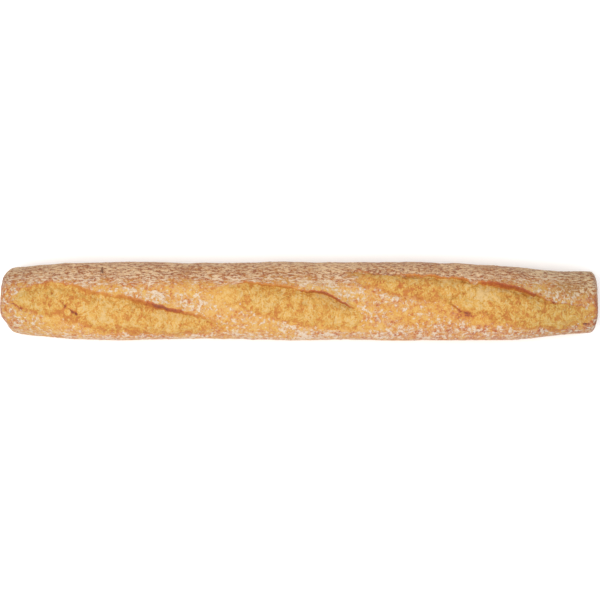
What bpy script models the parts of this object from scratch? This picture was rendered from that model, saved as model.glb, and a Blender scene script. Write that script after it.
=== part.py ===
"""Baguette: one hearth-baked loaf with four opened slashes, in metres with +Z up.

The loaf lies along X on the flat base that the oven floor gave it, at z = 0. The origin is
under its middle. Each slash opens towards -Y, so its raised lip grows from the +Y side.
"""

import math
from typing import NamedTuple

import bmesh
import bpy
from mathutils import Euler, Matrix, Vector

# Driving dimensions
LENGTH = 0.540
WIDTH = 0.0715
HEIGHT = 0.0520
BELLY_HEIGHT = 0.0210  # where the loaf is widest
UNDERCUT = 0.0300  # how deep the lower curve would reach if no oven floor had flattened it
BASE = 0.0

# Section and outline
CROWN_EXPONENT = 2.2
UNDERCUT_EXPONENT = 2.0
LEFT_CAP, LEFT_BLUNTNESS = 0.0145, 3.0
RIGHT_CAP, RIGHT_BLUNTNESS = 0.0090, 3.3
LEFT_TAPER, LEFT_NARROWING = 0.085, 0.13
RIGHT_TAPER, RIGHT_NARROWING = 0.130, 0.20
CROWN_DROP = 0.45  # share of the narrowing that the height follows
BOW = 0.0022  # how far the right half sways towards -Y
BOW_PLACE, BOW_SPREAD = 0.215, 0.045

# How finely the dough is divided
RINGS = 92
AROUND = 44
CAP_RINGS = 8
CROWN_CROWDING = 0.35  # moves points from the base to the crown

# Slashes
LIP_RISE = 0.0030
LIP_WIDTH = 0.0045
LIP_SETBACK = 0.0030  # from the edge of the cut to the top of its lip
SWELL = 0.0010  # the loaf swells beside each opening
SWELL_SPREAD = 0.030
BLADE_DEPTH = 0.0080
BLADE_LIFT = 0.0034  # from the crust to the middle of the lens
BLADE_TILT = math.radians(20)
BLADE_SEGMENTS, BLADE_RINGS = 28, 14
SMOOTH_UNDER = math.radians(35)  # edges sharper than this stay crisp

CRUST_COLOUR = (0.66, 0.36, 0.13, 1.0)
CRUST_ROUGHNESS = 0.78


class Slash(NamedTuple):
    """One scored opening: its lip's two ends in plan, and how wide the crust parted."""

    start: tuple[float, float]
    end: tuple[float, float]
    opening: float

    def middle(self) -> Vector:
        """The middle of the lip's line, in plan."""
        return (Vector(self.start) + Vector(self.end)) / 2

    def run(self) -> Vector:
        """From the lip's start to its end, in plan."""
        return Vector(self.end) - Vector(self.start)


SLASHES = (
    Slash(start=(-0.238, 0.014), end=(-0.076, -0.017), opening=0.034),
    Slash(start=(-0.072, 0.018), end=(0.052, -0.007), opening=0.030),
    Slash(start=(0.034, 0.025), end=(0.158, 0.002), opening=0.024),
    Slash(start=(0.150, 0.017), end=(0.250, -0.001), opening=0.027),
)


def clear_scene() -> None:
    """Remove whatever the scene holds."""
    for old in list(bpy.context.scene.objects):
        bpy.data.objects.remove(old, do_unlink=True)


def power(value: float, exponent: float) -> float:
    """A power that keeps the sign of its base."""
    return math.copysign(abs(value) ** exponent, value)


def bell(distance: float, spread: float) -> float:
    """A smooth hump of height 1, which fades over the spread."""
    return math.exp(-((distance / spread) ** 2))


def ease(share: float) -> float:
    """A smooth step from 0 to 1."""
    share = min(max(share, 0.0), 1.0)
    return share * share * (3 - 2 * share)


def station(share: float) -> tuple[float, float]:
    """Where a ring of the dough goes.

    The share runs from 0 at the right pole to 1 at the left pole. Returns x and how full
    the section is there: 1 along the body, falling to 0 over each blunt end.
    """
    cap_share = CAP_RINGS / RINGS
    if share < cap_share:
        turn = share / cap_share * math.pi / 2
        reach = RIGHT_CAP * math.cos(turn) ** (2 / RIGHT_BLUNTNESS)
        return LENGTH / 2 - RIGHT_CAP + reach, math.sin(turn) ** (2 / RIGHT_BLUNTNESS)
    if share > 1 - cap_share:
        turn = (1 - share) / cap_share * math.pi / 2
        reach = LEFT_CAP * math.cos(turn) ** (2 / LEFT_BLUNTNESS)
        return LEFT_CAP - LENGTH / 2 - reach, math.sin(turn) ** (2 / LEFT_BLUNTNESS)
    along = (share - cap_share) / (1 - 2 * cap_share)
    right, left = LENGTH / 2 - RIGHT_CAP, LEFT_CAP - LENGTH / 2
    return right + (left - right) * along, 1.0


def narrowing(x: float) -> float:
    """The share of its width that the loaf loses at x, near either end."""
    left = 1 - ease((x + LENGTH / 2) / LEFT_TAPER)
    right = 1 - ease((LENGTH / 2 - x) / RIGHT_TAPER)
    return LEFT_NARROWING * left + RIGHT_NARROWING * right


def half_width(x: float) -> float:
    """Half the loaf's width at x, with a swell beside each slash."""
    swell = sum(bell(x - slash.middle().x, SWELL_SPREAD) for slash in SLASHES)
    return (WIDTH / 2 - SWELL) * (1 - narrowing(x)) + SWELL * swell


def crown_height(x: float) -> float:
    """The height of the loaf's top at x, before its lips rise."""
    return HEIGHT * (1 - CROWN_DROP * narrowing(x))


def dough_point(share: float, turn: float) -> Vector:
    """A point of the unslashed loaf.

    Args:
        share: how far along from the right pole to the left pole, 0 to 1.
        turn: the angle around the loaf, 0 at +Y and a quarter turn at the crown.

    Returns:
        The point, pressed flat where it meets the oven floor.
    """
    x, fullness = station(share)
    angle = turn + CROWN_CROWDING * math.cos(turn)
    across, up = math.cos(angle), math.sin(angle)
    if up > 0:
        exponent = 2 / CROWN_EXPONENT
        rise = (crown_height(x) - BELLY_HEIGHT) * power(up, exponent)
    else:
        exponent = 2 / UNDERCUT_EXPONENT
        rise = UNDERCUT * power(up, exponent)
    y = fullness * half_width(x) * power(across, exponent) - BOW * bell(x - BOW_PLACE, BOW_SPREAD)
    return Vector((x, y, max(BELLY_HEIGHT + fullness * rise, BASE)))


def crown_at(x: float, y: float) -> float:
    """The height of the unslashed crust over a place in plan."""
    across = min(abs(y) / half_width(x), 1.0)
    dome = (1 - across**CROWN_EXPONENT) ** (1 / CROWN_EXPONENT)
    return BELLY_HEIGHT + (crown_height(x) - BELLY_HEIGHT) * dome


def raise_lips(point: Vector) -> None:
    """Lift the crust along the upper edge of each slash, where it curled up in the oven."""
    if point.z < BELLY_HEIGHT:
        return
    for slash in SLASHES:
        along = slash.run()
        offset = point.xy - Vector(slash.start)
        share = offset.dot(along) / along.length_squared
        if not 0 < share < 1:
            continue
        beside = along.cross(offset) / along.length
        taper = math.sin(math.pi * share)
        point.z += LIP_RISE * taper * bell(beside - LIP_SETBACK, LIP_WIDTH)


def make_loaf() -> bpy.types.Object:
    """The proved and baked dough: a sphere drawn out to the loaf's outline, with raised lips."""
    dough = bmesh.new()
    bmesh.ops.create_uvsphere(dough, u_segments=AROUND, v_segments=RINGS, radius=1)
    for vertex in dough.verts:
        pole_height = min(max(vertex.co.z, -1.0), 1.0)
        share = math.acos(pole_height) / math.pi
        turn = math.atan2(vertex.co.y, vertex.co.x)
        vertex.co = dough_point(share, turn)
        raise_lips(vertex.co)
    mesh = bpy.data.meshes.new("loaf")
    dough.to_mesh(mesh)
    dough.free()
    mesh.shade_smooth()
    mesh.set_sharp_from_angle(angle=SMOOTH_UNDER)
    return bpy.data.objects.new("loaf", mesh)


def make_blade_cut(slash: Slash, name: str) -> bpy.types.Object:
    """The lens-shaped hollow that one slash opens: deep under its lip, shallow on the far side."""
    run = slash.run()
    heading = math.atan2(run.y, run.x)
    sideways = Vector((math.sin(heading), -math.cos(heading))) * slash.opening / 2
    place = slash.middle() + sideways
    height = crown_at(place.x, place.y) + BLADE_LIFT
    lens = bmesh.new()
    bmesh.ops.create_uvsphere(lens, u_segments=BLADE_SEGMENTS, v_segments=BLADE_RINGS, radius=1)
    sizes = Vector((run.length / 2, slash.opening / 2, BLADE_DEPTH))
    bmesh.ops.rotate(lens, verts=lens.verts, matrix=Matrix.Rotation(math.pi / 2, 3, "Y"))
    bmesh.ops.scale(lens, verts=lens.verts, vec=sizes)
    mesh = bpy.data.meshes.new(name)
    lens.to_mesh(mesh)
    lens.free()
    cutter = bpy.data.objects.new(name, mesh)
    cutter.location = (place.x, place.y, height)
    cutter.rotation_euler = Euler((BLADE_TILT, 0, heading))
    cutter.hide_render = True
    cutter.display_type = "WIRE"
    return cutter


def open_slashes(loaf: bpy.types.Object, cutters: bpy.types.Collection) -> None:
    """Cut each slash out of the loaf."""
    for number, slash in enumerate(SLASHES, start=1):
        cutter = make_blade_cut(slash, f"blade_cut_{number}")
        cutters.objects.link(cutter)
        cut = loaf.modifiers.new(cutter.name, "BOOLEAN")
        cut.operation = "DIFFERENCE"
        cut.solver = "EXACT"
        cut.object = cutter


def crust_material() -> bpy.types.Material:
    """The golden baked crust under a dusting of flour."""
    material = bpy.data.materials.new("crust")
    material.use_nodes = True
    shader = material.node_tree.nodes["Principled BSDF"]
    shader.inputs["Base Color"].default_value = CRUST_COLOUR
    shader.inputs["Roughness"].default_value = CRUST_ROUGHNESS
    material.diffuse_color = CRUST_COLOUR
    return material


def main() -> None:
    """Build the loaf in a collection of its own, with the slashes' cutters in another."""
    clear_scene()
    scene_collection = bpy.context.scene.collection
    baguette = bpy.data.collections.new("baguette")
    cutters = bpy.data.collections.new("baguette_cutters")
    scene_collection.children.link(baguette)
    scene_collection.children.link(cutters)
    loaf = make_loaf()
    loaf.data.materials.append(crust_material())
    baguette.objects.link(loaf)
    open_slashes(loaf, cutters)


if __name__ == "__main__":
    main()
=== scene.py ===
"""Baguette: the looks of one hearth-baked loaf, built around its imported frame.

The crust is one closed mesh. Its sections follow the dough's outline, gather beside the lips of
the slashes, and are then lifted, torn and blistered. Seven painted values on its points, such
as how far it is baked and how floury it is, drive one procedural crust finish. Loose flour is
scattered on it by Geometry Nodes. Sizes are in metres; the loaf lies along X on z = 0.
"""

import logging
import math
from dataclasses import dataclass
from enum import Enum
from functools import reduce

import bpy
import numpy as np
from mathutils import Euler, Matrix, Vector, noise


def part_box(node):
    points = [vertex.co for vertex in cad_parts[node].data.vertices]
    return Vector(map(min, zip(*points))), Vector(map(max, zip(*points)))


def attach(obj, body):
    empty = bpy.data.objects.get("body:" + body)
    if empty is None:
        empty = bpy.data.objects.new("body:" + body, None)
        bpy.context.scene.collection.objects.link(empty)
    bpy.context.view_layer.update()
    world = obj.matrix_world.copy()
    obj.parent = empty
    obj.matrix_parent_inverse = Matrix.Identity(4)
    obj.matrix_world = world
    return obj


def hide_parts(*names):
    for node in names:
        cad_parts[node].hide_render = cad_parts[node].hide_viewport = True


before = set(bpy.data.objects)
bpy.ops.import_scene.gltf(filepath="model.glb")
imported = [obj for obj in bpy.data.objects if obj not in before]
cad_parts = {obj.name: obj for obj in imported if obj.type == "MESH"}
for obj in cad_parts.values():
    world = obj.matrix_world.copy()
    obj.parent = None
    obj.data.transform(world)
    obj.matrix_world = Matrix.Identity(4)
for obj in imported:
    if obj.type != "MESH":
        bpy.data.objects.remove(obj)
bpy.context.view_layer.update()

MM = 0.001
LEVEL_LIGHT = 1.6  # how brightly the studio lights a level white surface
NOISE_TURN = np.array(Euler((0.5, 0.7, 0.9)).to_matrix())  # keeps noise from lining up with the loaf
GRAIN_STEP, CELL_STEP, WOBBLE_STEP = 31.7, 17.3, 7.9  # how far apart the seeds of each noise lie
Array = np.ndarray
Sizes = tuple[float, float, float]
Line = tuple[tuple[float, float], ...]
Colour = tuple[float, float, float, float]
Socket = bpy.types.NodeSocket
Outputs = bpy.types.bpy_prop_collection
Feeds = dict[str | int, object]

log = logging.getLogger("baguette")


class End(Enum):
    """The two ends of the loaf, by the sign of their X."""

    RIGHT = 1
    LEFT = -1


class Paint(Enum):
    """The values painted on the crust's points, which its finish reads."""

    OPENING = "opening"
    LIP = "lip"
    CURL = "curl"
    SCAR = "scar"
    BAKE = "bake"
    FLOUR = "flour"
    CLUMP = "clump"


def plan(*points: tuple[float, float]) -> Line:
    """A line in plan, given in millimetres, as metres."""
    return tuple((x * MM, y * MM) for x, y in points)


def display(red: int, green: int, blue: int) -> Colour:
    """The finish that looks like a given display colour where it lies level in the studio.

    Args:
        red: how red it looks, 0 to 255.
        green: how green it looks.
        blue: how blue it looks.

    Returns:
        The finish's own linear colour.
    """
    linear = [((c / 255 + 0.055) / 1.055) ** 2.4 / LEVEL_LIGHT for c in (red, green, blue)]
    return (*linear, 1.0)


def step(value: Array, start: Array, stop: Array) -> Array:
    """A smooth step from 0 at the start to 1 at the stop, which may lie below the start."""
    share = np.clip((value - start) / (stop - start), 0.0, 1.0)
    return share * share * (3 - 2 * share)


def bell(distance: Array, spread: float) -> Array:
    """A smooth hump of height 1 at distance 0, which fades over the spread."""
    return np.exp(-((distance / spread) ** 2))


def signed_power(value: Array, exponent: float) -> Array:
    """A power that keeps the sign of its base."""
    return np.sign(value) * np.abs(value) ** exponent


def through(line: Line, x: Array) -> Array:
    """Read a smooth line at x.

    Args:
        line: points of (x, value), in order of x.
        x: where to read it. Beyond its ends, the line keeps its end values.

    Returns:
        The value at each x, on a cubic curve through the points.
    """
    knots, values = np.array(line).T
    slopes = np.gradient(values, knots)
    at = np.clip(np.searchsorted(knots, x) - 1, 0, len(knots) - 2)
    span = knots[at + 1] - knots[at]
    t = np.clip((x - knots[at]) / span, 0.0, 1.0)
    rise = values[at + 1] - values[at]
    first = slopes[at] * span - rise
    last = rise - slopes[at + 1] * span
    return values[at] + t * rise + t * (1 - t) * ((1 - t) * first + t * last)


def wobble(x: Array, size: float, seed: int) -> Array:
    """Noise along a line, about -1 to 1."""
    return 2 * np.array([noise.noise(Vector((a / size, seed * WOBBLE_STEP, 0.5))) for a in x])


@dataclass(frozen=True)
class Grain:
    """Fractal noise: how strong it is, and how large its bumps are along X, Y and Z."""

    strength: float
    sizes: Sizes
    octaves: int
    seed: int

    def over(self, points: Array) -> Array:
        """Read the noise over points.

        Args:
            points: places, in any grid of rows of x, y and z.

        Returns:
            One value for each point, from about -strength to strength.
        """
        places = points.reshape(-1, 3) / np.array(self.sizes) @ NOISE_TURN + self.seed * GRAIN_STEP
        values = [noise.fractal(Vector(place), 1.0, 2.0, self.octaves) for place in places]
        return self.strength * np.array(values).reshape(points.shape[:-1])


@dataclass(frozen=True)
class Spots:
    """Domes about scattered centres, each of which reaches over a share of its cell."""

    height: float
    sizes: Sizes
    reach: float
    seed: int

    def over(self, points: Array) -> Array:
        """Read the domes over points.

        Args:
            points: places, in any grid of rows of x, y and z.

        Returns:
            Their height at each point.
        """
        places = points.reshape(-1, 3) / np.array(self.sizes) + self.seed * CELL_STEP
        nearest = np.array([noise.voronoi(Vector(place))[0][0] for place in places])
        domes = np.clip(1 - (nearest / self.reach) ** 2, 0, 1)
        return self.height * domes.reshape(points.shape[:-1])


@dataclass(frozen=True)
class EndShape:
    """How one end of the loaf closes and narrows."""

    cap: float
    bluntness: float
    taper: float
    narrowing: float


@dataclass(frozen=True)
class LoafShape:
    """The dough's outline before its slashes opened."""

    length: float
    width: float
    crown: float
    belly: float = 0.0210
    undercut: float = 0.0300
    crown_exponent: float = 2.2
    rim_softness: float = 0.0030
    crown_drop: float = 0.45
    swell: float = 0.0010
    swell_spread: float = 0.030
    swells: tuple[float, ...] = (-0.157, -0.010, 0.096, 0.200)
    bow: float = 0.0022
    bow_place: float = 0.215
    bow_spread: float = 0.070
    right: EndShape = EndShape(0.0085, 4.2, 0.130, 0.20)
    left: EndShape = EndShape(0.0145, 3.0, 0.085, 0.13)
    samples: int = 720

    @classmethod
    def from_frame(cls, node: str, lip_rise: float) -> "LoafShape":
        """Take the length, width and height from the CAD node, less the rise of its lips."""
        low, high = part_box(node)
        return cls(high.x - low.x, high.y - low.y, high.z - low.z - lip_rise)

    def narrowing(self, x: Array) -> Array:
        """How much narrower the loaf gets near either end.

        Args:
            x: places along the loaf.

        Returns:
            The share of its width that it loses at each place, 0 along the body.
        """
        left = step(x + self.length / 2, self.left.taper, 0)
        right = step(self.length / 2 - x, self.right.taper, 0)
        return self.left.narrowing * left + self.right.narrowing * right

    def half_width(self, x: Array) -> Array:
        """Half the width at x, with a swell beside each slash."""
        swell = sum(bell(x - place, self.swell_spread) for place in self.swells)
        return (self.width / 2 - self.swell) * (1 - self.narrowing(x)) + self.swell * swell

    def crown_height(self, x: Array) -> Array:
        """The height of the top at x."""
        return self.crown * (1 - self.crown_drop * self.narrowing(x))

    def sway(self, x: Array) -> Array:
        """How far the middle of the loaf strays across at x."""
        return -self.bow * bell(x - self.bow_place, self.bow_spread)

    def cap_rings(self, end: End, count: int) -> tuple[Array, Array]:
        """The rings that close one end, evenly spaced over its surface.

        Args:
            end: which end.
            count: how many rings, with the pole's own but without the body's first.

        Returns:
            The x and the fullness of each ring, from the pole towards the body.
        """
        cap = self.right if end is End.RIGHT else self.left
        turn = np.linspace(0, math.pi / 2, self.samples)
        reach = cap.cap * np.cos(turn) ** (2 / cap.bluntness)
        fullness = np.sin(turn) ** (2 / cap.bluntness)
        steps = np.hypot(np.diff(reach), np.diff(fullness) * self.width / 2)
        gone = np.concatenate([[0], np.cumsum(steps)])
        stops = np.linspace(0, gone[-1], count + 1)[:-1]
        x = end.value * (self.length / 2 - cap.cap + np.interp(stops, gone, reach))
        return x, np.interp(stops, gone, fullness)

    def rings(self, body: int, cap: int) -> tuple[Array, Array]:
        """Place every ring, from the right pole to the left pole.

        Args:
            body: how many rings the body has.
            cap: how many more rings close each end.

        Returns:
            The x and the fullness of every ring.
        """
        right_x, right_full = self.cap_rings(End.RIGHT, cap)
        left_x, left_full = self.cap_rings(End.LEFT, cap)
        start = self.length / 2 - self.right.cap
        stop = self.left.cap - self.length / 2
        x = np.concatenate([right_x, np.linspace(start, stop, body), left_x[::-1]])
        return x, np.concatenate([right_full, np.ones(body), left_full[::-1]])

    def section(self, x: float) -> tuple[Array, Array]:
        """The outline at x, from the middle of the base over the +Y side and the crown.

        Args:
            x: the place along the loaf.

        Returns:
            Across and up, at evenly turned places all the way round.
        """
        angle = np.linspace(-math.pi / 2, 3 * math.pi / 2, self.samples)
        turned, up = np.cos(angle), np.sin(angle)
        power = 2 / self.crown_exponent
        over = up > 0
        across = signed_power(turned, np.where(over, power, 1.0)) * self.half_width(x)
        dome = (self.crown_height(x) - self.belly) * np.abs(up) ** power
        height = self.belly + np.where(over, dome, up * self.undercut)
        soft = (height + np.hypot(height, self.rim_softness)) / 2
        return across, soft - soft.min()


@dataclass(frozen=True)
class Slash:
    """One slash as it opened in the oven.

    Lip and foot are its two sides in plan, left to right: the lip on the +Y side curls up, and
    the foot runs out on the -Y side. The other two lines give, along X, how far the lip stands
    up and how far the crust has parted. The torn edge says how broad the lip's face is, with 1
    for the usual breadth.
    """

    lip: Line
    foot: Line
    curl: Line
    parting: Line
    seed: int
    torn_edge: float = 1.0
    lip_wobble: float = 0.0006
    lip_waves: float = 0.006
    lip_teeth: float = 0.0024
    foot_wobble: float = 0.0016
    foot_waves: float = 0.011
    curl_limit: float = 1.15

    @property
    def start(self) -> float:
        """The x of its left tip."""
        return self.lip[0][0]

    @property
    def stop(self) -> float:
        """The x of its right tip."""
        return self.lip[-1][0]

    def edges(self, x: Array) -> tuple[Array, Array]:
        """Where the lip and the foot run across the loaf at x.

        Args:
            x: places along the loaf.

        Returns:
            The y of the lip and the y of the foot, which never passes the lip.
        """
        ragged = wobble(x, self.lip_waves, self.seed) + 0.8 * wobble(x, self.lip_teeth, self.seed + 70)
        lip = through(self.lip, x) + self.lip_wobble * ragged
        foot = through(self.foot, x) + self.foot_wobble * wobble(x, self.foot_waves, self.seed + 50)
        return lip, np.minimum(foot, lip)

    def curled(self, x: Array) -> Array:
        """How far the lip stands up at x, 0 to about 1, broken up as torn crust is."""
        ragged = 1 + 0.25 * wobble(x, 0.007, self.seed + 9) + 0.15 * wobble(x, 0.0025, self.seed + 4)
        return np.clip(through(self.curl, x) * ragged, 0, self.curl_limit)

    def parted(self, x: Array) -> Array:
        """How far the crust has parted at x, 0 to 1."""
        inside = (x > self.start) & (x < self.stop)
        return np.where(inside, np.clip(through(self.parting, x), 0, 1), 0.0)


@dataclass(frozen=True)
class Mark:
    """A mark along a line in plan: how much darker it is baked, and how far it sinks."""

    line: Line
    width: float
    bake: float
    sink: float = 0.0

    def closeness(self, x: Array, y: Array) -> Array:
        """How close places are to the mark.

        Args:
            x: places along the loaf.
            y: the same places across it.

        Returns:
            1 on the line, fading to 0 beside it.
        """
        nearest = np.full(x.shape, 1.0)
        for (ax, ay), (bx, by) in zip(self.line, self.line[1:]):
            dx, dy = bx - ax, by - ay
            share = np.clip(((x - ax) * dx + (y - ay) * dy) / (dx * dx + dy * dy), 0, 1)
            nearest = np.minimum(nearest, np.hypot(x - ax - share * dx, y - ay - share * dy))
        return bell(nearest, self.width)


@dataclass(frozen=True)
class FlourPatch:
    """A place where the flour lies thick, in plan."""

    x: float
    y: float
    reach: float
    amount: float


SLASHES = (
    Slash(
        lip=plan((-261, -4), (-250, 8), (-234, 14.5), (-209, 14), (-180, 5), (-143, -1.5), (-121, -7),
                 (-98, -13), (-77, -19), (-62, -23), (-48, -27)),
        foot=plan((-261, -4), (-252, -11), (-216, -20), (-180, -30), (-152, -33), (-98, -33),
                  (-80, -32), (-62, -30.5), (-48, -27)),
        curl=((-0.240, 0.05), (-0.205, 0.3), (-0.170, 0.45), (-0.140, 0.65), (-0.128, 1.0),
              (-0.110, 1.05), (-0.098, 0.6), (-0.083, 0.42), (-0.074, 0.35), (-0.066, 0.0)),
        parting=((-0.261, 0.0), (-0.248, 1.0), (-0.098, 1.0), (-0.078, 0.65), (-0.062, 0.4),
                 (-0.048, 0.0)),
        seed=1,
        torn_edge=1.6,
    ),
    Slash(
        lip=plan((-92, 5), (-71, 12.5), (-56, 13.5), (-33, 12), (-12, 9.5), (1, 7), (15, 5.5),
                 (28, 2.5), (37, -3), (48, -8), (62, -15)),
        foot=plan((-92, 5), (-75, -3), (-53, -13), (-33, -18), (-21, -21), (-2, -25), (19, -29),
                  (42, -29), (56, -26), (62, -15)),
        curl=((-0.070, 0.0), (-0.050, 0.45), (-0.020, 0.5), (0.005, 0.6), (0.018, 0.95),
              (0.041, 1.0), (0.047, 0.6), (0.052, 0.0)),
        parting=((-0.092, 0.0), (-0.060, 0.55), (-0.038, 1.0), (0.050, 1.0), (0.062, 0.3)),
        seed=2,
        torn_edge=0.65,
    ),
    Slash(
        lip=plan((30, 21), (47, 24.5), (69, 23), (92, 22), (114, 20.5), (137, 19), (151, 17.5),
                 (168, 8)),
        foot=plan((30, 21), (47, 14), (65, 6), (78, 2), (92, -2.5), (119, -6), (137, -6), (168, 8)),
        curl=((0.036, 0.1), (0.055, 0.3), (0.070, 0.12), (0.085, 0.12), (0.100, 0.3), (0.130, 0.4),
              (0.150, 0.4), (0.162, 0.0)),
        parting=((0.030, 0.0), (0.047, 0.5), (0.075, 0.9), (0.092, 1.0), (0.150, 1.0), (0.168, 0.3)),
        seed=3,
        torn_edge=0.5,
    ),
    Slash(
        lip=plan((120, -4), (141, 4), (152, 11), (163, 15), (178, 14), (193, 11.5), (207, 7),
                 (220, 2.5), (236, -2), (250, -4), (268, -5)),
        foot=plan((120, -4), (135, -5), (141, -9), (146, -13), (156, -16), (173, -21), (191, -24),
                  (209, -27), (223, -28), (236, -27.5), (250, -25), (268, -20)),
        curl=((0.158, 0.0), (0.166, 0.9), (0.190, 1.0), (0.212, 0.9), (0.222, 0.3), (0.240, 0.15),
              (0.255, 0.0)),
        parting=((0.120, 0.0), (0.135, 1.0), (0.232, 1.0), (0.258, 0.6), (0.268, 0.3)),
        seed=4,
        torn_edge=0.75,
    ),
)

MARKS = (
    Mark(plan((-211.5, -2.5), (-210.5, -6.5), (-205, -11), (-198, -15.5)), 0.0009, 0.36, 0.0010),
    Mark(plan((-177, 28.5), (-176, 24)), 0.0009, 0.5, 0.0014),
    Mark(plan((135, -4.4), (141, -8.9), (145, -12.5), (155, -14.3)), 0.0006, 0.19, 0.0014),
    Mark(plan((144, -15.0), (156, -17.5)), 0.0022, 0.20, -0.0006),
    Mark(plan((-217, 6), (-215, 6)), 0.0018, -0.2, -0.0006),
    Mark(plan((-221, 8), (-220, 4)), 0.0010, 0.3, 0.0012),
    Mark(plan((228, -4.5), (231, -5.5)), 0.0009, 0.30, 0.0006),
    Mark(plan((256, -23), (261, -23)), 0.0009, 0.28, 0.0006),
    Mark(plan((33, -24), (35, -25)), 0.0009, 0.30, 0.0006),
    Mark(plan((-257, -4), (-254, -6), (-248, -10)), 0.0009, 0.22, 0.0008),
    Mark(plan((66, 17), (92, 12), (110, 11)), 0.0035, 0.08),
    Mark(plan((-127, -7.4), (-118, -9.8), (-110, -12)), 0.0022, 0.09),
    Mark(plan((-40, 3), (-35, 1)), 0.0030, 0.12),
    Mark(plan((-17, -1), (-15, -1)), 0.0012, 0.10, 0.0006),
    Mark(plan((-82, -22), (-78, -23)), 0.0012, 0.20, 0.0004),
)

THICK_FLOUR = (
    FlourPatch(-0.132, 0.014, 0.0028, 0.8),
    FlourPatch(-0.127, 0.004, 0.0030, 0.8),
    FlourPatch(-0.121, 0.001, 0.0026, 0.6),
    FlourPatch(-0.108, 0.003, 0.0028, 0.6),
    FlourPatch(-0.093, 0.012, 0.0028, 0.7),
    FlourPatch(-0.086, -0.005, 0.0022, 0.6),
    FlourPatch(-0.073, 0.018, 0.0030, 1.0),
    FlourPatch(-0.056, 0.014, 0.0040, 0.8),
    FlourPatch(-0.014, -0.024, 0.0045, 0.8),
    FlourPatch(0.004, -0.031, 0.0070, 0.7),
    FlourPatch(0.057, -0.010, 0.0030, 0.8),
    FlourPatch(0.076, 0.001, 0.0030, 0.8),
    FlourPatch(0.097, -0.011, 0.0035, 0.8),
    FlourPatch(0.107, -0.016, 0.0040, 0.6),
    FlourPatch(0.110, -0.008, 0.0028, 0.6),
    FlourPatch(0.118, -0.018, 0.0030, 0.6),
    FlourPatch(0.126, -0.022, 0.0035, 0.5),
    FlourPatch(0.092, -0.025, 0.0035, 0.6),
    FlourPatch(0.069, -0.015, 0.0030, 0.6),
    FlourPatch(0.056, 0.005, 0.0030, 0.6),
    FlourPatch(0.147, -0.023, 0.0035, 0.6),
    FlourPatch(0.030, 0.010, 0.0060, 0.6),
    FlourPatch(0.003, 0.0140, 0.0050, 0.45),
    FlourPatch(0.020, 0.0115, 0.0045, 0.45),
    FlourPatch(0.046, 0.0030, 0.0040, 0.4),
    FlourPatch(0.196, 0.0165, 0.0045, 0.35),
    FlourPatch(0.214, 0.0105, 0.0040, 0.35),
)


@dataclass(frozen=True)
class Relief:
    """The lumps, tears, pits, blisters and creases of baked dough."""

    lumps: Grain = Grain(0.0009, (0.050, 0.030, 0.030), 2, 1)
    ripples: Grain = Grain(0.0004, (0.014,) * 3, 3, 2)
    strands: Grain = Grain(0.0009, (0.0036, 0.009, 0.009), 2, 3)
    tears: Grain = Grain(0.0010, (0.012, 0.008, 0.008), 3, 4)
    pits: Spots = Spots(0.0006, (0.0065, 0.0085, 0.0085), 0.45, 5)
    blisters: Spots = Spots(0.00034, (0.0046,) * 3, 0.42, 6)
    blistered: Grain = Grain(1.0, (0.012,) * 3, 1, 7)
    creases: Grain = Grain(0.00022, (0.030, 0.0030, 0.0030), 3, 8)
    bends: tuple[Grain, ...] = tuple(Grain(0.004, (0.012,) * 3, 2, seed) for seed in (31, 32, 33))
    strand_turn: float = math.radians(11)

    def everywhere(self, places: Array) -> Array:
        """The height of the broad lumps that the whole loaf has."""
        return self.lumps.over(places) + self.ripples.over(places)

    def in_openings(self, places: Array) -> Array:
        """The height of the torn crumb, whose strands lie along the slashes and bend.

        Args:
            places: the grid of points.

        Returns:
            The height at each point.
        """
        cos, sin = math.cos(self.strand_turn), math.sin(self.strand_turn)
        turned = places @ np.array([[cos, sin, 0], [-sin, cos, 0], [0, 0, 1]])
        bent = turned + np.stack([bend.over(places) for bend in self.bends], axis=-1)
        return self.tears.over(bent) - np.abs(self.strands.over(bent)) - self.pits.over(bent)

    def on_crust(self, places: Array) -> Array:
        """The height of the blisters, which come in groups, and of the fine creases."""
        grouped = step(self.blistered.over(places), -0.05, 0.25)
        return self.blisters.over(places) * grouped + self.creases.over(places)


@dataclass(frozen=True)
class Baking:
    """How far each part is baked, from 0 for cream to 1 for scorched, or how much farther."""

    top: float = 0.47
    far_side: float = 0.32
    near_side: float = 0.13
    right_half: float = 0.07
    right_end: float = 0.08
    left_end: float = 0.15
    right_rim: float = 0.28
    left_rim: float = 0.16
    low_side: float = 0.55
    pale_band: float = -0.13
    base_rim: float = 0.10
    crumb: float = 0.33
    towards_foot: float = 0.16
    foot_line: float = 0.17
    torn_edge: float = 0.20
    crust_patches: float = 0.12
    side_patches: float = 0.10
    crumb_patches: float = 0.20
    crust_mottle: float = 0.12
    crumb_mottle: float = 0.18
    most: float = 1.15
    mottle: Grain = Grain(1.0, (0.007,) * 3, 3, 12)


@dataclass(frozen=True)
class Dusting:
    """How much flour lies on each part, or how much more."""

    top: float = 0.42
    side: float = 0.55
    far_side: float = 0.28
    far_middle: float = 0.10
    near_side: float = 0.21
    near_right: float = -0.05
    golden_middle: float = -0.10
    left_end: float = 0.04
    right_end: float = 0.14
    patches: float = 0.28
    behind_lips: float = 0.20
    blown_off: float = 0.9  # the share that openings and marks lose
    thick: float = 0.6
    most: float = 1.2


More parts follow.
